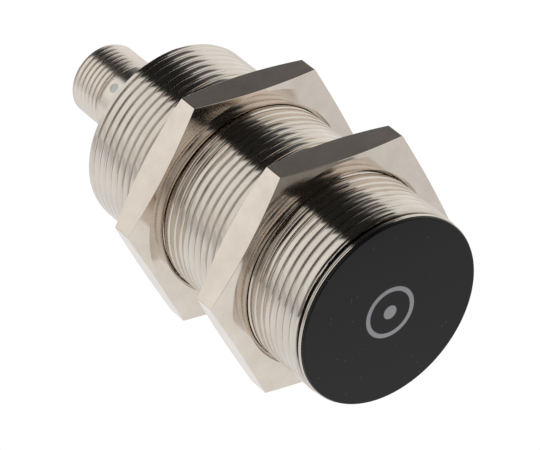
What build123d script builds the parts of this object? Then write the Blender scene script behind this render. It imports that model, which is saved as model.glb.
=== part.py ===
"""Flush-mounting inductive proximity sensor, M30 x 1.5 barrel with M12 x 1 plug connector.

Millimetres. The origin is the centre of the sensing face. +X points out of the face along the barrel,
+Z is up, and the sensor lies on the lower flats of its two mounting nuts.
"""

import math
import os

from build123d import *

# ---- barrel and its thread ----
BARREL_R = 14.97
BARREL_PITCH = 1.5
BARREL_ROOT_R = 14.64
BARREL_CREST = 1.00
BARREL_ROOT = 0.10
BARREL_FRONT_X = -0.40
RIM_R = 14.80
RIM_BACK_X = -0.95
NECK_R = 14.15
THREAD_FRONT_X = -2.05
BARREL_REAR_X = -52.70
REAR_CHAMFER = 0.35
BARREL_BORE_R = 13.00
REAR_LIP_R = 11.90
REAR_LIP_LENGTH = 0.90

# ---- sensing cap ----
CAP_R = 14.67
CAP_EDGE_ROUND = 0.22
CAP_FACE = 1.50
CAP_SKIRT_R = 12.95
CAP_SKIRT_BORE_R = 11.60
CAP_SKIRT_END_X = -9.80
CAP_GROOVE_R = 12.12
CAP_GROOVE_X = (-6.20, -4.80)
SEAL_WIRE_R = 0.43

# ---- mounting nuts ----
NUT_FLATS = 36.0
NUT_THICKNESS = 5.0
FRONT_NUT_X = -12.22
REAR_NUT_X = -32.56
NUT_FACE_R = 17.60
NUT_FRONT_CHAMFER = 14.0
NUT_REAR_CHAMFER = 18.0
NUT_BORE_R = 15.06
NUT_MOUTH_R = 15.50
NUT_MOUTH_DEPTH = 0.30
NUT_THREAD_DEPTH = 0.40

# ---- coil system behind the face ----
CORE_R = 10.85
CORE_BACK_X = -8.40
CORE_WALL_R = 9.00
CORE_POST_R = 4.60
CORE_HOLE_R = 1.60
CORE_BASE = 1.90
BOBBIN_BORE_R = 4.70
BOBBIN_HUB_R = 5.20
BOBBIN_FLANGE_R = 8.85
BOBBIN_FLANGE = 0.45
WINDING_R = 8.40
SHIELD_R = (10.95, 11.52)
SHIELD_X = (-9.60, -2.00)
LEAD_WIRE_R = 0.18

# ---- circuit board and the pieces on it ----
BOARD_X = (-43.60, -12.40)
BOARD_WIDTH = 20.0
BOARD_THICKNESS = 1.20
COPPER_GAP = 0.02

# ---- plug connector ----
FLANGE_X = (-51.76, -47.00)
FLANGE_R = 12.92
FLANGE_GROOVE_X = (-49.90, -48.50)
FLANGE_GROOVE_R = 12.10
BOSS_R = 11.80
PLUG_R = 5.90
PLUG_END_X = -71.20
PLUG_CHAMFER = 0.55
PLUG_PITCH = 1.0
PLUG_ROOT_R = 5.60
PLUG_CREST = 0.60
PLUG_ROOT = 0.08
PLUG_THREAD_X = (-70.70, -64.05)
PLUG_BORE_R = 4.75
WINDOW_X = -62.20
WINDOW_R = 0.75
PEG_END_R = 5.86
PEG_START_R = 4.50
WINDOW_ANGLES = (45, 135, 225, 315)
GUIDE_BORE_R = 4.32
GUIDE_END_X = -66.70
GUIDE_COLLAR_R = (3.60, 5.60)
GUIDE_COLLAR_X = (-47.00, -46.00)
CARRIER_R = 4.30
CARRIER_X = (-62.70, -55.50)
KEY_WIDTH = 1.00
KEY_DEPTH = 0.70
KEY_END_X = -68.50
PIN_CIRCLE_R = 2.50
PIN_R = 0.50
PIN_TIP_X = -69.80
PIN_COLLAR_R = 0.80
PIN_COLLAR_X = (-59.60, -57.60)
CUP_R = 0.75
CUP_BORE_R = 0.48
CUP_X = (-55.50, -53.20)
CUP_DEPTH = 1.50
WIRE_R = 0.44
PAD_Y = 3.30
PINS = {
    "contact_pin_supply": 135,
    "contact_pin_output_closed": 225,
    "contact_pin_ground": 315,
    "contact_pin_output_open": 45,
}

PARTS = {}


def along_x(profile):
    """Turn a closed outline of (x, radius) points round the barrel axis."""
    outline = Polyline(*[(x, r) for x, r in profile], close=True)
    return revolve(make_face(outline), axis=Axis.X)


def tube(x_back, x_front, outer_r, inner_r=0.0):
    return along_x([(x_back, inner_r), (x_front, inner_r), (x_front, outer_r), (x_back, outer_r)])


def rod(x_back, x_front, radius, y=0.0, z=0.0):
    """A round rod parallel to the barrel axis."""
    base = Plane(origin=(x_back, y, z), z_dir=(1, 0, 0))
    return extrude(base * Circle(radius), amount=x_front - x_back)


def block(x, y, z, length, width, height, edge=0.0):
    """A box centred at x, y, z with its upright edges eased."""
    box = Pos(x, y, z) * Box(length, width, height)
    if edge:
        box = fillet(box.edges().filter_by(Axis.Z), edge)
    return box


def seal_ring(x, groove_r, bore_r):
    """An O-ring sitting in a groove, just touching the bore around it."""
    middle = (groove_r + bore_r) / 2
    base = Plane(origin=(x, middle, 0), z_dir=(0, 0, 1))
    return revolve(base * Circle(SEAL_WIRE_R), axis=Axis.X)


def bent_wire(points, radius, start_dir=(1, 0, 0), end_dir=(1, 0, 0)):
    path = Spline(*points, tangents=[start_dir, end_dir])
    section = Plane(origin=points[0], z_dir=start_dir) * Circle(radius)
    return sweep(section, path=path)


def ridges(x_first, x_last, pitch, crest_r, root_r, crest, root):
    """Outline points, rear to front, of thread ridges with flat crests and roots."""
    flank = (pitch - crest - root) / 2
    points = []
    count = int((x_last - x_first - crest) / pitch + 1e-6) + 1
    for n in range(count):
        start = x_last - crest - (count - 1 - n) * pitch
        if n:
            points.append((start - flank, root_r))
        points.append((start, crest_r))
        points.append((start + crest, crest_r))
        if n < count - 1:
            points.append((start + crest + flank, root_r))
    return points


def add(name, shape):
    """Keep one named piece, as a single solid or as several like ones."""
    PARTS[name] = shape
    return shape


# ---- threaded barrel: tube, front rim, thread, rear lip ----
thread = ridges(
    BARREL_REAR_X + 0.20,
    THREAD_FRONT_X,
    BARREL_PITCH,
    BARREL_R,
    BARREL_ROOT_R,
    BARREL_CREST,
    BARREL_ROOT,
)
last_groove_x = thread[0][0] - (BARREL_PITCH - BARREL_CREST) / 2
outline = [
    (BARREL_REAR_X, REAR_LIP_R),
    (BARREL_REAR_X, BARREL_R - REAR_CHAMFER),
    (BARREL_REAR_X + REAR_CHAMFER, BARREL_R),
    (last_groove_x - (BARREL_PITCH - BARREL_CREST) / 2, BARREL_R),
    (last_groove_x - BARREL_ROOT / 2, BARREL_ROOT_R),
    (last_groove_x + BARREL_ROOT / 2, BARREL_ROOT_R),
]
outline += thread
outline += [
    (THREAD_FRONT_X + 0.40, NECK_R),
    (RIM_BACK_X - 0.12, NECK_R),
    (RIM_BACK_X, RIM_R - 0.10),
    (RIM_BACK_X + 0.08, RIM_R),
    (RIM_BACK_X + 0.20, RIM_R),
    (RIM_BACK_X + 0.26, RIM_R - 0.09),
    (RIM_BACK_X + 0.32, RIM_R - 0.09),
    (RIM_BACK_X + 0.38, RIM_R),
    (BARREL_FRONT_X - 0.06, RIM_R),
    (BARREL_FRONT_X, RIM_R - 0.06),
    (BARREL_FRONT_X, BARREL_BORE_R),
    (BARREL_REAR_X + REAR_LIP_LENGTH, BARREL_BORE_R),
    (BARREL_REAR_X + REAR_LIP_LENGTH, REAR_LIP_R),
]
add("threaded_barrel", along_x(outline))

# ---- sensing cap: flange over the barrel front, skirt inside it with a seal groove ----
cap = along_x(
    [
        (0, 0),
        (0, CAP_R),
        (BARREL_FRONT_X, CAP_R),
        (BARREL_FRONT_X, CAP_SKIRT_R),
        (CAP_GROOVE_X[1], CAP_SKIRT_R),
        (CAP_GROOVE_X[1], CAP_GROOVE_R),
        (CAP_GROOVE_X[0], CAP_GROOVE_R),
        (CAP_GROOVE_X[0], CAP_SKIRT_R),
        (CAP_SKIRT_END_X + 0.40, CAP_SKIRT_R),
        (CAP_SKIRT_END_X, CAP_SKIRT_R - 0.40),
        (CAP_SKIRT_END_X, CAP_SKIRT_BORE_R),
        (-CAP_FACE, CAP_SKIRT_BORE_R),
        (-CAP_FACE, 0),
    ]
)
front_edge = cap.edges().filter_by(GeomType.CIRCLE).sort_by(Axis.X)[-1]
add("sensing_cap", fillet(front_edge, CAP_EDGE_ROUND))
add("cap_seal_ring", seal_ring(sum(CAP_GROOVE_X) / 2, CAP_GROOVE_R, BARREL_BORE_R))


# ---- mounting nuts: hexagons turned to a cone outside each round face, bores clear of the crests ----
def mounting_nut(front_x):
    back_x = front_x - NUT_THICKNESS
    base = Plane(origin=(back_x, 0, 0), x_dir=(0, 1, 0), z_dir=(1, 0, 0))
    hexagon = RegularPolygon(NUT_FLATS / 2, 6, major_radius=False)
    past_corners_r = NUT_FLATS / 2 + 4
    cone_width = past_corners_r - NUT_FACE_R
    turned = along_x(
        [
            (back_x, 0),
            (back_x, NUT_FACE_R),
            (back_x + cone_width * math.tan(math.radians(NUT_REAR_CHAMFER)), past_corners_r),
            (front_x - cone_width * math.tan(math.radians(NUT_FRONT_CHAMFER)), past_corners_r),
            (front_x, NUT_FACE_R),
            (front_x, 0),
        ]
    )
    nut = extrude(base * hexagon, amount=NUT_THICKNESS) & turned
    valley = NUT_BORE_R + NUT_THREAD_DEPTH
    hole = [(back_x - 1, 0), (back_x - 1, NUT_MOUTH_R), (back_x, NUT_MOUTH_R)]
    hole.append((back_x + NUT_MOUTH_DEPTH, NUT_BORE_R))
    middle_x = (front_x + back_x) / 2
    for x in (middle_x - BARREL_PITCH, middle_x, middle_x + BARREL_PITCH):
        hole += [(x - 0.34, NUT_BORE_R), (x - 0.09, valley), (x + 0.09, valley), (x + 0.34, NUT_BORE_R)]
    hole += [
        (front_x - NUT_MOUTH_DEPTH, NUT_BORE_R),
        (front_x, NUT_MOUTH_R),
        (front_x + 1, NUT_MOUTH_R),
        (front_x + 1, 0),
    ]
    return nut - along_x(hole)


add("front_nut", mounting_nut(FRONT_NUT_X))
add("rear_nut", mounting_nut(REAR_NUT_X))

# ---- coil system: pot core open to the face, bobbin, winding, shield, leads ----
core_front_x = -CAP_FACE - 0.02
core_floor_x = CORE_BACK_X + CORE_BASE
core = along_x(
    [
        (CORE_BACK_X, CORE_HOLE_R),
        (CORE_BACK_X, CORE_R),
        (core_front_x, CORE_R),
        (core_front_x, CORE_WALL_R),
        (core_floor_x, CORE_WALL_R),
        (core_floor_x, CORE_POST_R),
        (core_front_x, CORE_POST_R),
        (core_front_x, CORE_HOLE_R),
    ]
)
lead_slots = [(7.2, 1.6), (7.2, -1.6)]
for lead_y, lead_z in lead_slots:
    core -= rod(CORE_BACK_X - 1, core_floor_x + 1, 0.55, lead_y, lead_z)
add("ferrite_core", core)

bobbin_back_x = core_floor_x + 0.02
bobbin_front_x = core_front_x - 0.05
bobbin = along_x(
    [
        (bobbin_back_x, BOBBIN_BORE_R),
        (bobbin_back_x, BOBBIN_FLANGE_R),
        (bobbin_back_x + BOBBIN_FLANGE, BOBBIN_FLANGE_R),
        (bobbin_back_x + BOBBIN_FLANGE, BOBBIN_HUB_R),
        (bobbin_front_x - BOBBIN_FLANGE, BOBBIN_HUB_R),
        (bobbin_front_x - BOBBIN_FLANGE, BOBBIN_FLANGE_R),
        (bobbin_front_x, BOBBIN_FLANGE_R),
        (bobbin_front_x, BOBBIN_BORE_R),
    ]
)
for lead_y, lead_z in lead_slots:
    bobbin -= rod(bobbin_back_x - 0.2, bobbin_back_x + BOBBIN_FLANGE, 0.55, lead_y, lead_z)
add("coil_bobbin", bobbin)

winding_x = (bobbin_back_x + BOBBIN_FLANGE + 0.02, bobbin_front_x - BOBBIN_FLANGE - 0.02)
layer = (winding_x[1] - winding_x[0]) / 8
winding_outline = [(winding_x[0], BOBBIN_HUB_R + 0.02)]
for n in range(8):
    turn_x = winding_x[0] + n * layer
    winding_outline.append((turn_x, WINDING_R - 0.10))
    winding_outline.append((turn_x + layer / 2, WINDING_R))
winding_outline.append((winding_x[1], WINDING_R - 0.10))
winding_outline.append((winding_x[1], BOBBIN_HUB_R + 0.02))
add("coil_winding", along_x(winding_outline))
add("shield_sleeve", tube(SHIELD_X[0], SHIELD_X[1], SHIELD_R[1], SHIELD_R[0]))

board_top_z = BOARD_THICKNESS / 2
leads = []
for lead_y, lead_z in lead_slots:
    pad_z = math.copysign(board_top_z + LEAD_WIRE_R + COPPER_GAP, lead_z)
    route = [(winding_x[0] - 0.02, lead_y, lead_z), (CORE_BACK_X - 0.6, lead_y, lead_z)]
    route += [(BOARD_X[1] - 1.2, 7.0, pad_z), (BOARD_X[1] - 2.4, 7.0, pad_z)]
    leads.append(bent_wire(route, LEAD_WIRE_R, (-1, 0, 0), (-1, 0, 0)))
add("coil_leads", Compound(leads))

# ---- circuit board with its components on both faces ----
board = block(
    sum(BOARD_X) / 2, 0, 0, BOARD_X[1] - BOARD_X[0], BOARD_WIDTH, BOARD_THICKNESS, edge=0.8
)
add("circuit_board", board)


def leaded_package(x, y, length, width, height, per_side, lead_width):
    """A moulded chip on the upper face with gull-wing leads along its two long sides."""
    base_z = board_top_z + COPPER_GAP
    body = block(x, y, base_z + 0.12 + height / 2, length, width, height)
    body = chamfer(body.edges().group_by(Axis.Z)[-1], 0.15)
    for side in (-1, 1):
        for n in range(per_side):
            lead_x = x + (n - (per_side - 1) / 2) * length / per_side
            foot = block(lead_x, y + side * (width / 2 + 0.45), base_z + 0.08, lead_width, 0.7, 0.16)
            riser = block(
                lead_x, y + side * (width / 2 + 0.10), base_z + height / 4, lead_width, 0.24, height / 2
            )
            body += foot + riser
    return body


def chip_part(x, y, face, length, width, height):
    """A small end-capped chip component on the upper (+1) or lower (-1) face."""
    z = face * (board_top_z + COPPER_GAP + height / 2)
    body = block(x, y, z, length, width, height - 0.06)
    for side in (-1, 1):
        body += block(x + side * (length / 2 - 0.15), y, z, 0.34, width + 0.04, height)
    return body


add("oscillator_chip", leaded_package(-20.0, 0.0, 5.0, 3.9, 1.3, 4, 0.42))
add("output_transistor", leaded_package(-33.5, -3.6, 4.4, 3.0, 1.1, 2, 0.70))
add("protection_diode", leaded_package(-33.5, 4.4, 3.6, 2.4, 1.0, 1, 1.20))
capacitor_places = [(-15.6, -4.2), (-15.6, 4.0), (-26.0, 6.4), (-40.0, 0.4)]
add(
    "chip_capacitors",
    Compound([chip_part(x, y, 1, 2.0, 1.25, 0.9) for x, y in capacitor_places]),
)
resistor_places = [(-18.0, -5.0), (-21.0, -5.0), (-24.0, -5.0), (-27.0, -5.0), (-30.0, 5.0)]
add(
    "chip_resistors",
    Compound([chip_part(x, y, -1, 1.6, 0.8, 0.5) for x, y in resistor_places]),
)
storage = block(-24.5, 0.6, -(board_top_z + COPPER_GAP + 1.4), 6.0, 3.2, 2.8)
add("storage_capacitor", chamfer(storage.edges().group_by(Axis.Z)[0], 0.3))
trimmed = block(-36.6, 0.6, -(board_top_z + COPPER_GAP + 0.9), 3.2, 3.2, 1.8)
trimmed -= Pos(-36.6, 0.6, -(board_top_z + COPPER_GAP + 1.8)) * Cylinder(1.1, 0.5)
trimmed += Pos(-36.6, 0.6, -(board_top_z + COPPER_GAP + 1.6)) * Cylinder(0.8, 0.4)
add("trimming_resistor", trimmed)

led_x = GUIDE_COLLAR_X[1] + 1.35
leds = []
for face in (1, -1):
    led_z = face * (GUIDE_COLLAR_R[0] + GUIDE_COLLAR_R[1]) / 2
    lens = rod(GUIDE_COLLAR_X[1] + 0.05, led_x - 0.5, 0.7, 0, led_z)
    case = block(led_x, 0, led_z, 1.0, 1.8, 1.6)
    foot_z = face * (board_top_z + COPPER_GAP)
    led_inner_z = led_z - face * 0.8
    leg_height = abs(led_inner_z - foot_z)
    for side in (-1, 1):
        case += block(led_x, side * 0.6, (led_inner_z + foot_z) / 2, 0.4, 0.4, leg_height)
        case += block(led_x + 0.8, side * 0.6, foot_z + face * 0.1, 2.0, 0.4, 0.2)
    leds.append(case + lens)
add("status_leds", Compound(leds))

# ---- plug connector: shell, seal, light guide, contact carrier, pins, wires ----
plug_thread = ridges(
    PLUG_THREAD_X[0], PLUG_THREAD_X[1], PLUG_PITCH, PLUG_R, PLUG_ROOT_R, PLUG_CREST, PLUG_ROOT
)
shell = along_x(
    [
        (FLANGE_X[1], FLANGE_R),
        (FLANGE_X[1], PLUG_BORE_R),
        (PLUG_END_X + 0.35, PLUG_BORE_R),
        (PLUG_END_X, PLUG_BORE_R + 0.25),
        (PLUG_END_X, PLUG_R - PLUG_CHAMFER),
    ]
    + plug_thread
    + [
        (PLUG_THREAD_X[1] + 0.17, PLUG_ROOT_R),
        (PLUG_THREAD_X[1] + 0.45, PLUG_ROOT_R),
        (PLUG_THREAD_X[1] + 0.62, PLUG_R),
        (BARREL_REAR_X - 0.55, PLUG_R),
        (BARREL_REAR_X - 0.25, PLUG_R + 0.30),
        (BARREL_REAR_X + 0.20, PLUG_R + 0.30),
        (BARREL_REAR_X + 0.20, BOSS_R - 0.20),
        (BARREL_REAR_X + 0.40, BOSS_R),
        (FLANGE_X[0], BOSS_R),
        (FLANGE_X[0], FLANGE_R),
        (FLANGE_GROOVE_X[0], FLANGE_R),
        (FLANGE_GROOVE_X[0], FLANGE_GROOVE_R),
        (FLANGE_GROOVE_X[1], FLANGE_GROOVE_R),
        (FLANGE_GROOVE_X[1], FLANGE_R),
    ]
)
guide = along_x(
    [
        (GUIDE_END_X, GUIDE_BORE_R),
        (GUIDE_END_X, PLUG_BORE_R - 0.02),
        (GUIDE_COLLAR_X[0], PLUG_BORE_R - 0.02),
        (GUIDE_COLLAR_X[0], GUIDE_COLLAR_R[1]),
        (GUIDE_COLLAR_X[1], GUIDE_COLLAR_R[1]),
        (GUIDE_COLLAR_X[1], GUIDE_COLLAR_R[0]),
        (GUIDE_COLLAR_X[0], GUIDE_COLLAR_R[0]),
        (GUIDE_COLLAR_X[0], GUIDE_BORE_R),
    ]
)
for angle in WINDOW_ANGLES:
    out = (0, math.cos(math.radians(angle)), math.sin(math.radians(angle)))
    start = (WINDOW_X, PEG_START_R * out[1], PEG_START_R * out[2])
    shell -= extrude(Plane(origin=start, z_dir=out) * Circle(WINDOW_R), amount=2.5)
    peg = Plane(origin=start, z_dir=out) * Circle(WINDOW_R - 0.02)
    guide += extrude(peg, amount=PEG_END_R - PEG_START_R)
add("connector_shell", shell)
add("light_guide", guide)
add("shell_seal_ring", seal_ring(sum(FLANGE_GROOVE_X) / 2, FLANGE_GROOVE_R, BARREL_BORE_R))


def contact_pin():
    """A round pin with a domed tip, a collar held in the carrier and a solder cup behind it."""
    return along_x(
        [
            (PIN_TIP_X, 0),
            (PIN_TIP_X, PIN_R - 0.30),
            (PIN_TIP_X + 0.12, PIN_R - 0.10),
            (PIN_TIP_X + 0.40, PIN_R),
            (PIN_COLLAR_X[0], PIN_R),
            (PIN_COLLAR_X[0], PIN_COLLAR_R),
            (PIN_COLLAR_X[1], PIN_COLLAR_R),
            (PIN_COLLAR_X[1], PIN_R),
            (CUP_X[0], PIN_R),
            (CUP_X[0], CUP_R),
            (CUP_X[1], CUP_R),
            (CUP_X[1], CUP_BORE_R),
            (CUP_X[1] - CUP_DEPTH, CUP_BORE_R),
            (CUP_X[1] - CUP_DEPTH, 0),
        ]
    )


carrier = tube(CARRIER_X[0], CARRIER_X[1], CARRIER_R)
key_z = CARRIER_R - KEY_DEPTH / 2 - 0.06
key_middle_x = (KEY_END_X + CARRIER_X[0] + 0.5) / 2
carrier += block(key_middle_x, 0, key_z, CARRIER_X[0] + 0.5 - KEY_END_X, KEY_WIDTH, KEY_DEPTH)
pin_places = {}
for name, angle in PINS.items():
    y = PIN_CIRCLE_R * math.cos(math.radians(angle))
    z = PIN_CIRCLE_R * math.sin(math.radians(angle))
    pin_places[name] = (y, z)
    pin = Pos(0, y, z) * contact_pin()
    carrier -= pin
    add(name, pin)
add("contact_carrier", carrier)

pad_faces = {
    "contact_pin_supply": (-PAD_Y, 1),
    "contact_pin_output_open": (PAD_Y, 1),
    "contact_pin_output_closed": (-PAD_Y, -1),
    "contact_pin_ground": (PAD_Y, -1),
}
wires = []
for name, (pad_y, face) in pad_faces.items():
    y, z = pin_places[name]
    pad_z = face * (board_top_z + COPPER_GAP + WIRE_R)
    route = [(CUP_X[1] - CUP_DEPTH + 0.1, y, z), (GUIDE_COLLAR_X[0], y * 1.02, z)]
    route += [(BOARD_X[0] + 0.6, pad_y, pad_z), (BOARD_X[0] + 2.4, pad_y, pad_z)]
    wires.append(bent_wire(route, WIRE_R))
add("connector_wires", Compound(wires))

# ---- potting resin: fills the barrel behind the core, round everything in it ----
resin = along_x(
    [
        (FLANGE_X[1], 0),
        (FLANGE_X[1], BARREL_BORE_R - 0.01),
        (CAP_SKIRT_END_X - 0.01, BARREL_BORE_R - 0.01),
        (CAP_SKIRT_END_X - 0.01, CAP_SKIRT_BORE_R - 0.01),
        (SHIELD_X[0] - 0.01, CAP_SKIRT_BORE_R - 0.01),
        (SHIELD_X[0] - 0.01, SHIELD_R[0] - 0.01),
        (CORE_BACK_X - 0.01, SHIELD_R[0] - 0.01),
        (CORE_BACK_X - 0.01, 0),
    ]
)
resin += tube(CUP_X[0], FLANGE_X[1], GUIDE_BORE_R - 0.01)
inside = [
    "coil_leads",
    "circuit_board",
    "oscillator_chip",
    "output_transistor",
    "protection_diode",
    "chip_capacitors",
    "chip_resistors",
    "storage_capacitor",
    "trimming_resistor",
    "status_leds",
    "connector_wires",
    "light_guide",
    *PINS,
]
for name in inside:
    for piece in PARTS[name].solids():
        resin -= piece
add("potting_resin", resin)

os.makedirs("parts", exist_ok=True)
for name, shape in PARTS.items():
    export_step(shape, f"parts/{name}.step")
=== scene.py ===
"""Looks of the inductive proximity sensor: threads, nuts, cap, plug, finishes, studio and camera."""

import math

import bmesh
import bpy
import numpy as np
from mathutils import Matrix, Vector


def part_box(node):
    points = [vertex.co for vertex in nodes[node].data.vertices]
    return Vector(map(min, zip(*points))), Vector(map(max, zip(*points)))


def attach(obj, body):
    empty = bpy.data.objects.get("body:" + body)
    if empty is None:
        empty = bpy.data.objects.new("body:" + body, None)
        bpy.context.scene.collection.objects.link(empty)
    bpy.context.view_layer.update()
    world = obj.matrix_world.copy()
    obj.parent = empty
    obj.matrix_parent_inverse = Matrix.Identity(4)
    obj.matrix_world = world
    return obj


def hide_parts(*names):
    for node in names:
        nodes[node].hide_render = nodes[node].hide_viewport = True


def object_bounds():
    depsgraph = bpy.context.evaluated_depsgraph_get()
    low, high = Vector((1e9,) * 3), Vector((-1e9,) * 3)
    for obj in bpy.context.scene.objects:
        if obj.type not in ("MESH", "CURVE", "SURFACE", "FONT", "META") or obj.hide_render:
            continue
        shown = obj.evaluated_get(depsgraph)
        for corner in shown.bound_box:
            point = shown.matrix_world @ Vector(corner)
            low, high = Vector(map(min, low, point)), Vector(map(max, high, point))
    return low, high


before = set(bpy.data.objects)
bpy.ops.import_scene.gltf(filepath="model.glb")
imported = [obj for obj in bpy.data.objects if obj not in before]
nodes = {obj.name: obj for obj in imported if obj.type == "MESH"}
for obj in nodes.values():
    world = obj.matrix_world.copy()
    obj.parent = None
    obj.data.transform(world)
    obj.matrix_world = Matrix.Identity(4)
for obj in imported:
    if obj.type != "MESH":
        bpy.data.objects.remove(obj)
cad_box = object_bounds()
scene = bpy.context.scene
MM = 0.001
TURN = 2 * math.pi

# ------------------------------------------------------------------ camera

CAMERA_PLACE = Vector((281.32, -239.58, 258.63)) * MM
CAMERA_RIGHT = Vector((0.58133, 0.81171, 0.05636))
CAMERA_DOWN = Vector((0.47851, -0.28504, -0.83053))
CAMERA_AHEAD = Vector((-0.65809, 0.50977, -0.55412))

camera_data = bpy.data.cameras.new("camera")
camera_data.lens = 220.62
camera_data.sensor_width = 36.0
camera_data.clip_start = 0.01
camera_data.clip_end = 20.0
camera = bpy.data.objects.new("camera", camera_data)
scene.collection.objects.link(camera)
turned = Matrix((CAMERA_RIGHT, -CAMERA_DOWN, -CAMERA_AHEAD)).transposed().to_4x4()
camera.matrix_world = Matrix.Translation(CAMERA_PLACE) @ turned
scene.camera = camera


# ------------------------------------------------------------------ materials


class NodeMaker:
    """Small helpers for building a node tree."""

    def __init__(self, tree):
        self.tree = tree

    def node(self, kind, **inputs):
        made = self.tree.nodes.new(kind)
        for key, value in inputs.items():
            name = key.replace("_", " ")
            if hasattr(value, "is_output"):
                self.tree.links.new(value, made.inputs[name])
            else:
                made.inputs[name].default_value = value
        return made

    def link(self, out, socket):
        self.tree.links.new(out, socket)

    def ramp(self, value, stops):
        """Piecewise-linear curve through (position, grey or colour) stops."""
        made = self.node("ShaderNodeValToRGB", Fac=value)
        band = made.color_ramp
        ordered = [(at, (w, w, w) if isinstance(w, (int, float)) else w) for at, w in stops]
        band.elements[0].position = ordered[0][0]
        band.elements[0].color = (*ordered[0][1], 1)
        band.elements[1].position = ordered[-1][0]
        band.elements[1].color = (*ordered[-1][1], 1)
        for at, what in ordered[1:-1]:
            band.elements.new(at).color = (*what, 1)
        return made.outputs["Color"]

    def math(self, operation, a, b=0.0, clamp=False):
        made = self.tree.nodes.new("ShaderNodeMath")
        made.operation = operation
        made.use_clamp = clamp
        for socket, value in zip(made.inputs, (a, b)):
            if hasattr(value, "is_output"):
                self.link(value, socket)
            else:
                socket.default_value = value
        return made.outputs[0]

    def mix(self, factor, a, b):
        made = self.tree.nodes.new("ShaderNodeMix")
        made.data_type = "RGBA"
        for name, value in (("Factor_Float", factor), ("A_Color", a), ("B_Color", b)):
            socket = next(s for s in made.inputs if s.identifier == name)
            if hasattr(value, "is_output"):
                self.link(value, socket)
            elif name == "Factor_Float":
                socket.default_value = value
            else:
                socket.default_value = (*value, 1)
        return next(s for s in made.outputs if s.identifier == "Result_Color")

    def parts(self, vector):
        made = self.node("ShaderNodeSeparateXYZ", Vector=vector)
        return made.outputs["X"], made.outputs["Y"], made.outputs["Z"]


class Finish(NodeMaker):
    """A Principled material with object-space noise helpers."""

    def __init__(self, name):
        self.material = bpy.data.materials.new(name)
        self.material.use_nodes = True
        super().__init__(self.material.node_tree)
        self.shader = self.tree.nodes["Principled BSDF"]
        self.place = self.tree.nodes.new("ShaderNodeTexCoord").outputs["Object"]

    def stretched(self, scale):
        """Object coordinates scaled by three numbers, in 1/metres."""
        made = self.node("ShaderNodeMapping", Vector=self.place)
        made.inputs["Scale"].default_value = scale
        return made.outputs["Vector"]

    def noise(self, scale, detail=4.0, rough=0.6, distortion=0.0):
        made = self.node(
            "ShaderNodeTexNoise",
            Vector=self.stretched(scale),
            Scale=1.0,
            Detail=detail,
            Roughness=rough,
            Distortion=distortion,
        )
        return made.outputs["Fac"]

    def specks(self, scale, size):
        """1 at scattered dots, 0 between them."""
        made = self.node("ShaderNodeTexVoronoi", Vector=self.stretched((scale, scale, scale)), Scale=1.0)
        return self.ramp(made.outputs["Distance"], [(size * 0.6, 1), (size, 0)])

    def between(self, value, low, high):
        made = self.node("ShaderNodeMapRange", Value=value)
        made.inputs["To Min"].default_value = low
        made.inputs["To Max"].default_value = high
        return made.outputs["Result"]

    def colour(self, out):
        self.link(out, self.shader.inputs["Base Color"])

    def rough(self, value, low, high):
        self.link(self.between(value, low, high), self.shader.inputs["Roughness"])

    def bump(self, height, strength, depth):
        made = self.node("ShaderNodeBump", Height=height, Strength=strength, Distance=depth)
        self.link(made.outputs["Normal"], self.shader.inputs["Normal"])

    def set(self, **values):
        for key, value in values.items():
            self.shader.inputs[key.replace("_", " ")].default_value = value
        return self


# Colour and radius scale of the painted shade in the barrel's neck and thread roots.
RECESS_SHADE_COLOUR = (0.055, 0.048, 0.040)
RECESS_SHADE_SPAN = 20


def nickel(name, bright, dull, low, high, turned_marks, handling=0.35, recess_shade_r=None):
    """Nickel plating: faint warm mottling, fine turned or ground marks, small handling marks, and painted
    shade in the recesses when radii are given.

    The last argument gives the radii (mm) of the painted shade: a dark recess, the thread roots and the
    start of unshaded metal.
    """
    f = Finish(name).set(Metallic=1.0)
    cloud = f.noise((220, 220, 220), 5, 0.6)
    fine = f.noise((2600, 2600, 2600), 3, 0.6)
    marks = f.noise(turned_marks, 3, 0.65)
    stain = f.ramp(cloud, [(0.35, 0.0), (0.75, 1.0)])
    plating = f.mix(stain, bright, dull)
    # Painted shade: by radius from the axis, the plating darkens towards a near-black colour in the neck
    # behind the rim and in the thread roots, where shade falls.
    if recess_shade_r:
        _, y, z = f.parts(f.place)
        r = f.math("SQRT", f.math("ADD", f.math("MULTIPLY", y, y), f.math("MULTIPLY", z, z)))
        recess, root, unshaded_at = [at / RECESS_SHADE_SPAN for at in recess_shade_r]
        outside = f.ramp(
            f.math("MULTIPLY", r, 1 / (RECESS_SHADE_SPAN * MM)),
            [(0.66, 1.0), (0.70, 0.30), (recess, 0.30), (root - 0.004, 0.50), (root, 0.80), (unshaded_at, 1.0)],
        )
        plating = f.mix(outside, RECESS_SHADE_COLOUR, plating)
    f.colour(plating)
    grain = f.math("ADD", f.math("MULTIPLY", marks, 0.7), f.math("MULTIPLY", fine, 0.3))
    f.rough(grain, low, high)
    dots = f.specks(900, 0.10)
    height = f.math("ADD", grain, f.math("MULTIPLY", dots, -handling))
    f.bump(height, 0.30, 0.000004)
    return f.material


def moulded(name, base, tint, low, high, scale=1.0, bump_depth=0.00001, **sockets):
    """Moulded plastic, resin or rubber with a fine skin, slight tone changes and dust specks."""
    f = Finish(name).set(**sockets)
    cloud = f.noise((160 * scale,) * 3, 4, 0.6)
    skin = f.noise((5200 * scale,) * 3, 3, 0.7)
    f.colour(f.mix(f.ramp(cloud, [(0.3, 0.0), (0.75, 1.0)]), base, tint))
    f.rough(f.math("ADD", f.math("MULTIPLY", skin, 0.6), f.math("MULTIPLY", cloud, 0.4)), low, high)
    f.bump(skin, 0.35, bump_depth)
    return f.material


def metal(name, base, tint, low, high, marks=(1200, 1200, 1200), **sockets):
    f = Finish(name).set(Metallic=1.0, **sockets)
    cloud = f.noise((400, 400, 400), 4, 0.6)
    fine = f.noise(marks, 3, 0.65)
    f.colour(f.mix(cloud, base, tint))
    f.rough(fine, low, high)
    f.bump(fine, 0.3, 0.000004)
    return f.material


# ------------------------------------------------------------------ mesh helpers


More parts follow.
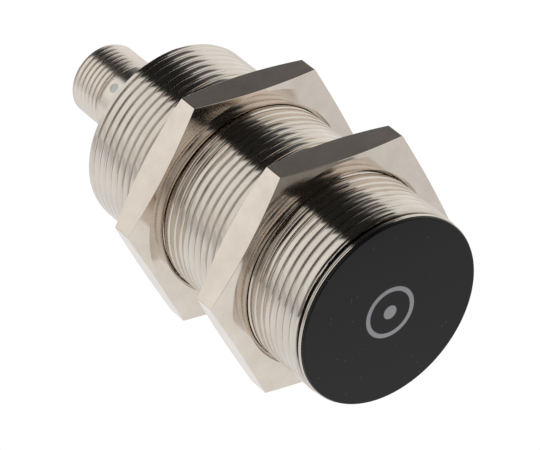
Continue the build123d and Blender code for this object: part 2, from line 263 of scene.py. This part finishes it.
def mesh_object(name, verts, faces, material, smooth_angle=28.0):
    data = bpy.data.meshes.new(name)
    data.from_pydata([tuple(v) for v in verts], [], faces)
    data.validate()
    made = bmesh.new()
    made.from_mesh(data)
    bmesh.ops.remove_doubles(made, verts=made.verts, dist=0.000002)
    bmesh.ops.recalc_face_normals(made, faces=made.faces)
    made.to_mesh(data)
    made.free()
    data.shade_smooth()
    data.set_sharp_from_angle(angle=math.radians(smooth_angle))
    data.materials.append(material)
    obj = bpy.data.objects.new(name, data)
    scene.collection.objects.link(obj)
    flat = obj.modifiers.new("flat_faces", "WEIGHTED_NORMAL")
    flat.keep_sharp = True
    flat.weight = 60
    return obj


def rings(profile, count):
    """Vertices of rings round the X axis, one for each (x, r), in millimetres."""
    angle = np.arange(count) * TURN / count
    rows = []
    for x, r in profile:
        rows.append(np.stack([np.full(count, x), r * np.cos(angle), r * np.sin(angle)], 1))
    return np.concatenate(rows) * MM


def ring_faces(first, row_count, count, closed=False):
    faces = []
    last = row_count if closed else row_count - 1
    for i in range(last):
        a = first + i * count
        b = first + ((i + 1) % row_count) * count
        for j in range(count):
            k = (j + 1) % count
            faces.append((a + j, a + k, b + k, b + j))
    return faces


def thread_section(crest_r, root_r, crest, pitch, ease, crown):
    """One pitch of thread as (offset, radius), centred on the crest, which is slightly crowned."""
    half = crest / 2
    flank = math.radians(60)
    corner = []
    for k in range(5):
        tilt = flank * k / 4
        corner.append((ease * math.sin(tilt), -ease * (1 - math.cos(tilt))))
    reach = ease * math.tan(flank / 2)
    flat = half - reach
    front = [(flat * k / 4, crest_r - crown * (k / 4) ** 2) for k in range(1, 4)]
    front += [(flat + x, crest_r - crown + r) for x, r in corner]
    back = [(-x, r) for x, r in reversed(front)] + [(0.0, crest_r)]
    drop = front[-1][1] - root_r
    foot = front[-1][0] + drop / math.tan(flank)
    valley = [
        (foot - 0.02, root_r + 0.03),
        (pitch / 2, root_r),
        (pitch - foot + 0.02, root_r + 0.03),
    ]
    return back + front + valley


def helical_band(x_from, x_to, first_crest, pitch, section, limit, count):
    """Vertices and faces of a right-hand thread between two x planes. limit(x) caps the radius."""
    per = len(section)
    turns = int((x_to - x_from) / pitch) + 4
    start = first_crest - (math.ceil((first_crest - x_from) / pitch) + 1) * pitch
    rows = turns * per
    offsets = np.array([start + (i // per) * pitch + section[i % per][0] for i in range(rows)])
    radii = np.array([section[i % per][1] for i in range(rows)])
    angle = np.arange(count) * TURN / count
    x = offsets[:, None] + pitch * angle[None, :] / TURN
    x = np.clip(x, x_from, x_to)
    r = np.minimum(radii[:, None], limit(x))
    verts = np.stack([x, r * np.cos(angle)[None, :], r * np.sin(angle)[None, :]], 2)
    verts = verts.reshape(-1, 3) * MM
    faces = []
    for i in range(rows - 1):
        for j in range(count - 1):
            a = i * count + j
            faces.append((a, a + 1, a + count + 1, a + count))
        if i + per + 1 < rows:
            a = i * count + count - 1
            b = (i + per) * count
            faces.append((a, b, b + count, a + count))
    return verts, faces


def ramp_limit(points):
    xs = [p[0] for p in points]
    rs = [p[1] for p in points]
    return lambda x: np.interp(x, xs, rs)


# ------------------------------------------------------------------ finishes of the outside

# The barrel's nickel carries painted shade in the neck behind the rim and in the thread roots.
NICKEL = nickel(
    "nickel_turned",
    (0.68, 0.63, 0.57),
    (0.60, 0.55, 0.49),
    0.05,
    0.15,
    (5200, 260, 260),
    recess_shade_r=(14.45, 14.64, 14.72),
)
NUT_NICKEL = nickel(
    "nickel_nut", (0.76, 0.69, 0.62), (0.66, 0.59, 0.52), 0.05, 0.15, (900, 900, 900), 0.5
)
PLUG_NICKEL = nickel(
    "nickel_plug", (0.74, 0.68, 0.62), (0.66, 0.60, 0.54), 0.16, 0.30, (3000, 300, 300)
)

# ------------------------------------------------------------------ barrel

BARREL_R = 14.97
ROOT_R = 14.64
PITCH = 1.5
CREST = 1.00
barrel_section = thread_section(BARREL_R, ROOT_R, CREST, PITCH, 0.13, 0.020)
THREAD_FROM, THREAD_TO = -52.60, -1.62
FIRST_CREST_X = -1.59
barrel_limit = ramp_limit(
    [
        (THREAD_FROM, 14.55),
        (THREAD_FROM + 0.40, BARREL_R),
        (THREAD_TO - 0.34, BARREL_R),
        (THREAD_TO - 0.04, 14.58),
        (THREAD_TO, 14.30),
    ]
)
BARREL_STEPS = 216
verts, faces = helical_band(
    THREAD_FROM, THREAD_TO, FIRST_CREST_X, PITCH, barrel_section, barrel_limit, BARREL_STEPS
)
BARREL_PROFILE = [
    (THREAD_TO, 14.30),
    (-1.56, 14.18),
    (-1.50, 14.15),
    (-1.08, 14.15),
    (-1.02, 14.18),
    (-0.97, 14.66),
    (-0.94, 14.76),
    (-0.88, 14.80),
    (-0.76, 14.80),
    (-0.72, 14.77),
    (-0.69, 14.71),
    (-0.63, 14.71),
    (-0.60, 14.77),
    (-0.56, 14.80),
    (-0.46, 14.80),
    (-0.40, 14.74),
    (-0.40, 13.00),
    (-51.80, 13.00),
    (-51.80, 11.90),
    (-52.70, 11.90),
    (-52.70, 14.38),
    (-52.66, 14.47),
    (THREAD_FROM, 14.55),
]
profile_verts = rings(BARREL_PROFILE, BARREL_STEPS)
faces += ring_faces(len(verts), len(BARREL_PROFILE), BARREL_STEPS)
barrel = mesh_object("barrel_threaded", np.concatenate([verts, profile_verts]), faces, NICKEL)
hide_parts("threaded_barrel")
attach(barrel, "sensor_body")

# ------------------------------------------------------------------ nuts

FLATS = 36.0
NUT_BORE_R = 15.06
NUT_MOUTH_R = 15.50
NUT_VALLEY_R = 15.44
NUT_MOUTH_DEPTH = 0.30
NUT_FACE_R = 17.60
NUT_CORNER_ROUND = 0.22
NUT_EDGE_EASE = 0.05
NUT_FRONT_SLOPE = math.tan(math.radians(14.0))
NUT_BACK_SLOPE = math.tan(math.radians(18.0))
NUT_VALLEY = ((-0.34, NUT_BORE_R), (-0.09, NUT_VALLEY_R), (0.09, NUT_VALLEY_R), (0.34, NUT_BORE_R))


def nut_outline():
    """Angles round a hexagon, closer together at its rounded corners, and the radius at each."""
    corner_r = FLATS / 2 / math.cos(math.pi / 6)
    centre_r = corner_r - NUT_CORNER_ROUND / math.cos(math.pi / 6)
    steps = [0.0, 0.12, 0.24] + [float(k) for k in range(1, 60)] + [59.76, 59.88]
    angles, radii = [], []
    for sector in range(6):
        for step in steps:
            angle = math.radians(sector * 60 + step)
            from_corner = math.radians(min(step, 60 - step))
            to_flat = math.pi / 6 - from_corner
            flat_r = FLATS / 2 / math.cos(to_flat)
            reach = NUT_CORNER_ROUND**2 - (centre_r * math.sin(from_corner)) ** 2
            if reach > 0:
                flat_r = min(flat_r, centre_r * math.cos(from_corner) + math.sqrt(reach))
            angles.append(angle)
            radii.append(flat_r)
    return np.array(angles), np.array(radii)


def nut_piece(name, node, body):
    """A hexagon nut with a cone turned outside each round face and a threaded bore."""
    low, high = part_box(node)
    back, front = low[0] / MM, high[0] / MM
    angle, outer = nut_outline()
    count = len(angle)
    ease = NUT_EDGE_EASE
    front_edge = front - (outer - NUT_FACE_R) * NUT_FRONT_SLOPE
    back_edge = back + (outer - NUT_FACE_R) * NUT_BACK_SLOPE
    middle = (front + back) / 2
    flat = np.full(count, 1.0)
    rows = [(back * flat, NUT_MOUTH_R * flat), ((back + NUT_MOUTH_DEPTH) * flat, NUT_BORE_R * flat)]
    for x in (middle - PITCH, middle, middle + PITCH):
        for dx, r in NUT_VALLEY:
            rows.append(((x + dx) * flat, r * flat))
    rows += [
        ((front - NUT_MOUTH_DEPTH) * flat, NUT_BORE_R * flat),
        (front * flat, NUT_MOUTH_R * flat),
        (front * flat, (NUT_MOUTH_R + NUT_FACE_R) / 2 * flat),
        (front * flat, NUT_FACE_R * flat),
        (front_edge + ease * NUT_FRONT_SLOPE, outer - ease),
        (front_edge - 0.3 * ease, outer - 0.3 * ease),
        (front_edge - ease, outer),
        (middle * flat, outer),
        (back_edge + ease, outer),
        (back_edge + 0.3 * ease, outer - 0.3 * ease),
        (back_edge - ease * NUT_BACK_SLOPE, outer - ease),
        (back * flat, NUT_FACE_R * flat),
        (back * flat, (NUT_MOUTH_R + NUT_FACE_R) / 2 * flat),
    ]
    verts = [np.stack([x, r * np.cos(angle), r * np.sin(angle)], 1) for x, r in rows]
    faces = ring_faces(0, len(rows), count, closed=True)
    nut = mesh_object(name, np.concatenate(verts) * MM, faces, NUT_NICKEL, 10.0)
    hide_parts(node)
    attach(nut, body)


nut_piece("nut_front", "front_nut", "front_nut_body")
nut_piece("nut_rear", "rear_nut", "rear_nut_body")

# ------------------------------------------------------------------ sensing cap

f = Finish("cap_black")
cloud = f.noise((140, 140, 140), 4, 0.6)
skin = f.noise((6000, 6000, 6000), 3, 0.7)
dust = f.specks(1300, 0.085)
dust_share = f.ramp(f.noise((300, 300, 300), 2, 0.5), [(0.52, 0.0), (0.62, 1.0)])
dust = f.math("MULTIPLY", dust, dust_share)
black = f.mix(cloud, (0.003, 0.003, 0.004), (0.006, 0.006, 0.008))
black = f.mix(dust, black, (0.36, 0.36, 0.37))
x, y, z = f.parts(f.place)
from_centre = f.math("SQRT", f.math("ADD", f.math("MULTIPLY", y, y), f.math("MULTIPLY", z, z)))
target_mark = f.ramp(
    f.math("MULTIPLY", from_centre, 1 / 0.015),
    [(0.0, 1), (0.070, 1), (0.074, 0), (0.224, 0), (0.228, 1), (0.270, 1), (0.274, 0), (1.0, 0)],
)
on_face = f.ramp(f.math("ADD", f.math("MULTIPLY", x, 1000), 1.0), [(0.90, 0), (0.95, 1)])
ink_wear = f.ramp(skin, [(0.30, 0.80), (0.48, 1.0)])
ink = f.math("MULTIPLY", f.math("MULTIPLY", target_mark, on_face), ink_wear)
f.colour(f.mix(ink, black, (0.46, 0.47, 0.50)))
f.rough(f.math("ADD", f.math("MULTIPLY", skin, 0.5), f.math("MULTIPLY", cloud, 0.5)), 0.26, 0.42)
f.bump(f.math("ADD", skin, f.math("MULTIPLY", dust, 2.0)), 0.35, 0.000006)
f.set(Specular_IOR_Level=0.25)
CAP = f.material

CAP_PROFILE = [(0.0, 0.001), (0.0, 4.0), (0.0, 9.0), (0.0, 14.40)]
for k in range(1, 7):
    a = k / 6 * math.pi / 2
    CAP_PROFILE.append((-0.24 * (1 - math.cos(a)), 14.43 + 0.24 * math.sin(a)))
CAP_PROFILE += [
    (-0.36, 14.67),
    (-0.40, 14.63),
    (-0.40, 12.95),
    (-4.80, 12.95),
    (-4.80, 12.12),
    (-6.20, 12.12),
    (-6.20, 12.95),
    (-9.40, 12.95),
    (-9.80, 12.55),
    (-9.80, 11.60),
    (-1.50, 11.60),
    (-1.50, 0.001),
]
CAP_STEPS = 240
cap_faces = ring_faces(0, len(CAP_PROFILE), CAP_STEPS)
cap = mesh_object("cap_sensing_face", rings(CAP_PROFILE, CAP_STEPS), cap_faces, CAP)
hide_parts("sensing_cap")
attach(cap, "sensor_body")

# ------------------------------------------------------------------ plug connector shell

PLUG_R = 5.90
PLUG_ROOT_R = 5.60
PLUG_BORE_R = 4.75
PLUG_END = -71.20
PLUG_PITCH = 1.0
PLUG_THREAD_FROM = PLUG_END + 0.02
PLUG_THREAD_TO = -63.90
PLUG_FIRST_CREST_X = -70.35
WINDOW_X = -62.20
WINDOW_R = 0.75
PLUG_STEPS = 144
WINDOWED = (-63.20, -61.20)


def windowed_tube():
    """The stretch of the shank with its four round light windows cut through it."""
    back, front = WINDOWED
    profile = [(back, PLUG_R), (front, PLUG_R), (front, PLUG_BORE_R), (back, PLUG_BORE_R)]
    data = bpy.data.meshes.new("windowed_tube")
    tube_faces = ring_faces(0, 4, PLUG_STEPS, closed=True)
    data.from_pydata([tuple(v) for v in rings(profile, PLUG_STEPS)], [], tube_faces)
    made = bmesh.new()
    made.from_mesh(data)
    bmesh.ops.recalc_face_normals(made, faces=made.faces)
    made.to_mesh(data)
    made.free()
    tube = bpy.data.objects.new("windowed_tube", data)
    cutter_data = bpy.data.meshes.new("window_cutter")
    made = bmesh.new()
    for angle in (45, 135, 225, 315):
        a = math.radians(angle)
        out = Vector((0, math.cos(a), math.sin(a)))
        place = Matrix.Translation(Vector((WINDOW_X, 0, 0)) * MM + out * 5.4 * MM)
        turned = place @ Vector((0, 0, 1)).rotation_difference(out).to_matrix().to_4x4()
        bmesh.ops.create_cone(
            made,
            cap_ends=True,
            segments=32,
            radius1=WINDOW_R * MM,
            radius2=WINDOW_R * MM,
            depth=2.4 * MM,
            matrix=turned,
        )
    made.to_mesh(cutter_data)
    made.free()
    cutter = bpy.data.objects.new("window_cutter", cutter_data)
    for obj in (tube, cutter):
        scene.collection.objects.link(obj)
    cut = tube.modifiers.new("windows", "BOOLEAN")
    cut.operation = "DIFFERENCE"
    cut.solver = "EXACT"
    cut.object = cutter
    evaluated = tube.evaluated_get(bpy.context.evaluated_depsgraph_get())
    result = evaluated.to_mesh()
    verts = np.array([v.co[:] for v in result.vertices])
    faces = []
    for face in result.polygons:
        xs = verts[list(face.vertices), 0] / MM
        if np.all(abs(xs - back) < 0.001) or np.all(abs(xs - front) < 0.001):
            continue
        faces.append(tuple(face.vertices))
    evaluated.to_mesh_clear()
    for obj in (tube, cutter):
        bpy.data.objects.remove(obj)
    return verts, faces


plug_section = thread_section(PLUG_R, PLUG_ROOT_R, 0.60, PLUG_PITCH, 0.06, 0.012)
plug_limit = ramp_limit(
    [(PLUG_THREAD_FROM, 5.37), (-70.65, PLUG_R), (-64.15, PLUG_R), (-63.92, PLUG_ROOT_R)]
)
verts, faces = helical_band(
    PLUG_THREAD_FROM,
    PLUG_THREAD_TO,
    PLUG_FIRST_CREST_X,
    PLUG_PITCH,
    plug_section,
    plug_limit,
    PLUG_STEPS,
)
SHELL_PROFILES = [
    [
        (PLUG_THREAD_TO, PLUG_ROOT_R),
        (-63.62, 5.60),
        (-63.52, 5.70),
        (-63.46, 5.87),
        (-63.40, 5.90),
        (WINDOWED[0], PLUG_R),
    ],
    [
        (WINDOWED[1], PLUG_R),
        (-57.00, PLUG_R),
        (-53.28, PLUG_R),
        (-53.22, 5.93),
        (-52.98, 6.17),
        (-52.92, 6.20),
        (-52.50, 6.20),
        (-52.50, 11.60),
        (-52.30, 11.80),
        (-51.76, 11.80),
        (-51.76, 12.92),
        (-49.90, 12.92),
        (-49.90, 12.10),
        (-48.50, 12.10),
        (-48.50, 12.92),
        (-47.00, 12.92),
        (-47.00, PLUG_BORE_R),
        (WINDOWED[1], PLUG_BORE_R),
    ],
    [
        (WINDOWED[0], PLUG_BORE_R),
        (-70.85, PLUG_BORE_R),
        (-71.17, 4.97),
        (PLUG_END, 5.02),
        (PLUG_END, 5.33),
        (PLUG_THREAD_FROM, 5.37),
    ],
]
for profile in SHELL_PROFILES:
    faces += ring_faces(len(verts), len(profile), PLUG_STEPS)
    verts = np.concatenate([verts, rings(profile, PLUG_STEPS)])
tube_verts, tube_faces = windowed_tube()
faces += [tuple(len(verts) + i for i in face) for face in tube_faces]
verts = np.concatenate([verts, tube_verts])
shell = mesh_object("plug_connector_shell", verts, faces, PLUG_NICKEL)
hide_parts("connector_shell")
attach(shell, "sensor_body")

# ------------------------------------------------------------------ finishes of the inner pieces


def winding_finish():
    """Enamelled copper with the ridges of the wound turns."""
    f = Finish("copper_wound").set(Metallic=1.0, Coat_Weight=0.6, Coat_Roughness=0.15)
    turns = f.node("ShaderNodeTexWave", Vector=f.stretched((2800, 40, 40)), Scale=1.0, Distortion=0.6)
    cloud = f.noise((700, 700, 700), 4, 0.6)
    f.colour(f.mix(cloud, (0.62, 0.22, 0.09), (0.44, 0.13, 0.05)))
    f.rough(cloud, 0.20, 0.36)
    f.bump(turns.outputs["Fac"], 0.7, 0.00004)
    return f.material


def board_finish():
    """Green solder mask over faintly raised copper tracks."""
    f = Finish("board_green").set(Coat_Weight=0.3)
    tracks = f.node("ShaderNodeTexBrick", Vector=f.stretched((420, 560, 420)), Scale=1.0)
    tracks.inputs["Mortar Size"].default_value = 0.09
    track = tracks.outputs["Fac"]
    weave = f.noise((3000, 3000, 3000), 2, 0.5)
    f.colour(f.mix(track, (0.010, 0.095, 0.035), (0.020, 0.170, 0.060)))
    f.rough(weave, 0.28, 0.45)
    f.bump(f.math("ADD", track, f.math("MULTIPLY", weave, 0.3)), 0.5, 0.00003)
    return f.material


def wires_finish():
    """One insulation colour for each wire, chosen by the quarter that it runs in."""
    f = Finish("wire_insulation_colours")
    _, y, z = f.parts(f.place)
    left = f.math("LESS_THAN", y, 0.0)
    upper = f.math("GREATER_THAN", z, 0.0)
    top_pair = f.mix(left, (0.72, 0.70, 0.66), (0.17, 0.07, 0.03))
    low_pair = f.mix(left, (0.02, 0.08, 0.42), (0.015, 0.015, 0.017))
    skin = f.noise((2400, 2400, 2400), 3, 0.6)
    both = f.mix(upper, low_pair, top_pair)
    f.colour(f.mix(f.ramp(skin, [(0.55, 0.0), (0.8, 0.25)]), both, (0.30, 0.28, 0.26)))
    f.rough(skin, 0.30, 0.48)
    f.bump(skin, 0.3, 0.000006)
    return f.material


POLARITY_BAND_X = -0.02235


def storage_finish():
    """Amber moulded case with a darker polarity band at its front end."""
    f = Finish("capacitor_amber")
    x, _, _ = f.parts(f.place)
    band = f.math("GREATER_THAN", x, POLARITY_BAND_X)
    cloud = f.noise((700, 700, 700), 4, 0.6)
    body = f.mix(cloud, (0.62, 0.33, 0.03), (0.50, 0.25, 0.02))
    f.colour(f.mix(band, body, (0.16, 0.06, 0.02)))
    f.rough(f.noise((4000, 4000, 4000), 3, 0.6), 0.34, 0.52)
    f.bump(f.noise((6000, 6000, 6000), 3, 0.6), 0.3, 0.000008)
    return f.material


RUBBER = moulded("rubber_seal", (0.012, 0.012, 0.012), (0.022, 0.021, 0.020), 0.38, 0.55)
CHIP = moulded("chip_epoxy", (0.016, 0.016, 0.018), (0.028, 0.028, 0.030), 0.45, 0.62)
GOLD = metal("gold_contact", (0.83, 0.58, 0.22), (0.74, 0.49, 0.17), 0.12, 0.26)
INSIDE = {
    "cap_seal_ring": RUBBER,
    "shell_seal_ring": RUBBER,
    "ferrite_core": moulded(
        "ferrite_ground", (0.045, 0.045, 0.048), (0.075, 0.074, 0.076), 0.42, 0.66, 1.6, 0.00002
    ),
    "coil_bobbin": moulded("bobbin_natural", (0.56, 0.52, 0.40), (0.63, 0.59, 0.48), 0.38, 0.52),
    "coil_winding": winding_finish(),
    "coil_leads": metal(
        "copper_lead", (0.60, 0.21, 0.09), (0.48, 0.15, 0.06), 0.2, 0.34, Coat_Weight=0.5
    ),
    "shield_sleeve": metal(
        "brass_rolled", (0.64, 0.43, 0.14), (0.54, 0.35, 0.11), 0.22, 0.40, (300, 2600, 2600)
    ),
    "circuit_board": board_finish(),
    "oscillator_chip": CHIP,
    "output_transistor": CHIP,
    "protection_diode": CHIP,
    "chip_capacitors": moulded("ceramic_tan", (0.36, 0.22, 0.11), (0.44, 0.29, 0.16), 0.30, 0.5, 2.0),
    "chip_resistors": moulded("ceramic_black", (0.02, 0.02, 0.022), (0.04, 0.04, 0.045), 0.22, 0.4, 2.0),
    "storage_capacitor": storage_finish(),
    "trimming_resistor": moulded("trimmer_blue", (0.02, 0.09, 0.36), (0.03, 0.12, 0.42), 0.34, 0.5, 1.5),
    "status_leds": moulded(
        "led_clear", (0.72, 0.66, 0.32), (0.78, 0.73, 0.42), 0.08, 0.18, 1.5, Transmission_Weight=0.5
    ),
    "light_guide": moulded(
        "guide_clear", (0.86, 0.89, 0.78), (0.90, 0.92, 0.83), 0.14, 0.28, 1.5, Subsurface_Weight=0.2
    ),
    "contact_carrier": moulded("carrier_black", (0.014, 0.014, 0.015), (0.026, 0.026, 0.027), 0.40, 0.60),
    "contact_pin_supply": GOLD,
    "contact_pin_output_closed": GOLD,
    "contact_pin_ground": GOLD,
    "contact_pin_output_open": GOLD,
    "connector_wires": wires_finish(),
    "potting_resin": moulded("resin_cast", (0.030, 0.027, 0.024), (0.045, 0.040, 0.035), 0.10, 0.24),
}
for name, finish in INSIDE.items():
    for slot in nodes[name].material_slots:
        slot.material = finish

# ------------------------------------------------------------------ studio

# The camera sees a plain white floor and backdrop. The panels, cards and falloff show in reflections only.
FLOOR_Z = cad_box[0][2] - 0.00002
FLOOR_HALF = 0.18
FALLOFF_SPAN = 0.4
CAMERA_WHITE = (1.02, 1.02, 1.02)


def emitter(name, colour, strength):
    material = bpy.data.materials.new(name)
    material.use_nodes = True
    tree = material.node_tree
    tree.nodes.clear()
    out = tree.nodes.new("ShaderNodeOutputMaterial")
    glow = tree.nodes.new("ShaderNodeEmission")
    glow.inputs["Color"].default_value = (*colour, 1)
    glow.inputs["Strength"].default_value = strength
    tree.links.new(glow.outputs[0], out.inputs["Surface"])
    return material


def card(name, middle, facing, width, height, material):
    """A flat studio card, seen only in reflections."""
    facing = Vector(facing).normalized()
    side = Vector((0, 0, 1)).cross(facing).normalized()
    top = facing.cross(side)
    corners = []
    for s, t in ((-1, -1), (1, -1), (1, 1), (-1, 1)):
        corners.append(middle + side * (s * width / 2) + top * (t * height / 2))
    data = bpy.data.meshes.new(name)
    data.from_pydata([tuple(c) for c in corners], [], [(0, 1, 2, 3)])
    data.materials.append(material)
    obj = bpy.data.objects.new(name, data)
    scene.collection.objects.link(obj)
    obj.visible_camera = False
    obj.visible_shadow = False


def floor_finish():
    """A glowing floor: even white to the camera, falling off to either side in reflections only."""
    material = emitter("floor_white", (1, 1, 1), 1.0)
    f = NodeMaker(material.node_tree)
    glow = next(n for n in f.tree.nodes if n.bl_idname == "ShaderNodeEmission")
    _, y, _ = f.parts(f.tree.nodes.new("ShaderNodeTexCoord").outputs["Object"])
    across = f.math("ADD", f.math("MULTIPLY", y, 1 / FALLOFF_SPAN), 0.5)
    falloff = f.ramp(
        across,
        [(0.0, 0.55), (0.30, 0.66), (0.38, 0.90), (0.43, 0.95), (0.50, 0.85), (0.58, 0.76), (1.0, 0.76)],
    )
    seen = f.tree.nodes.new("ShaderNodeLightPath").outputs["Is Camera Ray"]
    f.link(f.mix(seen, falloff, CAMERA_WHITE), glow.inputs["Color"])
    return material


floor_data = bpy.data.meshes.new("floor")
floor_corners = [
    (-FLOOR_HALF, -FLOOR_HALF, FLOOR_Z),
    (FLOOR_HALF, -FLOOR_HALF, FLOOR_Z),
    (FLOOR_HALF, FLOOR_HALF, FLOOR_Z),
    (-FLOOR_HALF, FLOOR_HALF, FLOOR_Z),
]
floor_data.from_pydata(floor_corners, [], [(0, 1, 2, 3)])
floor_data.materials.append(floor_finish())
floor = bpy.data.objects.new("floor", floor_data)
scene.collection.objects.link(floor)

world = bpy.data.worlds.new("studio")
world.use_nodes = True
w = NodeMaker(world.node_tree)
background = world.node_tree.nodes["Background"]
x, y, z = w.parts(world.node_tree.nodes.new("ShaderNodeTexCoord").outputs["Generated"])


def turn_share(degrees):
    """Place on a 0..1 scale of a direction round the X axis, 0 at +Y and 90 at the zenith."""
    return degrees / 360 + 0.5


def spread(value):
    """-1..1 onto 0..1."""
    return w.math("ADD", w.math("MULTIPLY", value, 0.5), 0.5)


def window(value, stops):
    return w.ramp(spread(value), [(at * 0.5 + 0.5, level) for at, level in stops])


# A dark ceiling panel along the barrel, soft on its +Y side and sharp on its -Y side.
OVERHEAD = [
    (-180, 0.80),
    (-165, 0.88),
    (-145, 1.0),
    (24, 1.0),
    (30, 0.95),
    (36, 0.75),
    (41, 0.15),
    (46, 0.115),
    (57, 0.08),
    (67, 0.04),
    (75, 0.02),
    (101, 0.02),
    (104, 0.05),
    (107, 0.95),
    (112, 1.0),
    (160, 1.0),
    (170, 0.97),
    (177, 0.82),
    (180, 0.80),
]
around = w.math("ADD", w.math("MULTIPLY", w.math("ARCTAN2", z, y), 1 / TURN), 0.5)
straight_up = w.ramp(around, [(turn_share(degrees), level) for degrees, level in OVERHEAD])
NARROWER = [(d, v) for d, v in OVERHEAD if d <= 24 or d >= 75]
NARROWER += [(40, 0.95), (52, 0.80), (60, 0.45), (68, 0.05)]
to_the_sides = w.ramp(around, [(turn_share(degrees), level) for degrees, level in sorted(NARROWER)])
panel_middle = window(x, [(-1, 0), (-0.78, 0), (-0.74, 1), (-0.61, 1), (-0.57, 0), (1, 0)])
overhead = w.mix(panel_middle, to_the_sides, straight_up)

# A dark gap between two panels on the -Y side, a dark strip low in front, and the dimmer side of the room.
gap = window(x, [(-1, 0), (-0.42, 0), (-0.38, 1), (-0.20, 1), (-0.16, 0), (1, 0)])
gap_y = window(y, [(-1, 1), (-0.06, 1), (0.02, 0), (1, 0)])
gap_z = window(z, [(-1, 0), (0.18, 0), (0.28, 1), (1, 1)])
gap = w.math("MULTIPLY", w.math("MULTIPLY", gap, gap_y), gap_z)
low_front = window(x, [(-1, 0), (0.80, 0), (0.88, 1), (1, 1)])
low_front_z = window(z, [(-1, 0), (-0.10, 0), (-0.05, 1), (0.30, 1), (0.4, 0), (1, 0)])
low_front_y = window(y, [(-1, 0), (-0.5, 0), (-0.38, 1), (0.38, 1), (0.5, 0), (1, 0)])
low_front = w.math("MULTIPLY", w.math("MULTIPLY", low_front, low_front_z), low_front_y)
dimmed = w.math("MULTIPLY", overhead, w.math("SUBTRACT", 1.0, w.math("MULTIPLY", gap, 0.96)))
dimmed = w.math("MULTIPLY", dimmed, w.math("SUBTRACT", 1.0, w.math("MULTIPLY", low_front, 0.92)))
room_side = window(x, [(-1, 0), (0.34, 0), (0.50, 1), (1, 1)])
room_side = w.math("MULTIPLY", room_side, window(y, [(-1, 1), (-0.32, 1), (-0.16, 0), (1, 0)]))
dimmed = w.math("MULTIPLY", dimmed, w.math("SUBTRACT", 1.0, w.math("MULTIPLY", room_side, 0.50)))
dome = w.mix(dimmed, (0.0, 0.0, 0.0), (1.0, 0.985, 0.965))
seen_directly = world.node_tree.nodes.new("ShaderNodeLightPath").outputs["Is Camera Ray"]
w.link(w.mix(seen_directly, dome, (1.0, 1.0, 1.0)), background.inputs["Color"])
background.inputs["Strength"].default_value = 1.0
scene.world = world

# Two cards in front of the sensing face, facing it: a nearly black one above a dim one.
FLAG_X, FLAG_Y = 48, -12
FLAG_WIDTH = 112
FLAG_WARM = (1.0, 0.93, 0.86)
for name, low_z, high_z, level in (("flag_upper", 12, 75, 0.02), ("flag_lower", -18, 12, 0.25)):
    middle = Vector((FLAG_X, FLAG_Y, (low_z + high_z) / 2)) * MM
    glow = emitter(name, FLAG_WARM, level)
    card(name, middle, (-1, 0, 0), FLAG_WIDTH * MM, (high_z - low_z) * MM, glow)

scene.view_settings.view_transform = "Standard"
scene.view_settings.look = "None"
scene.view_settings.exposure = 0.0
scene.view_settings.gamma = 1.0
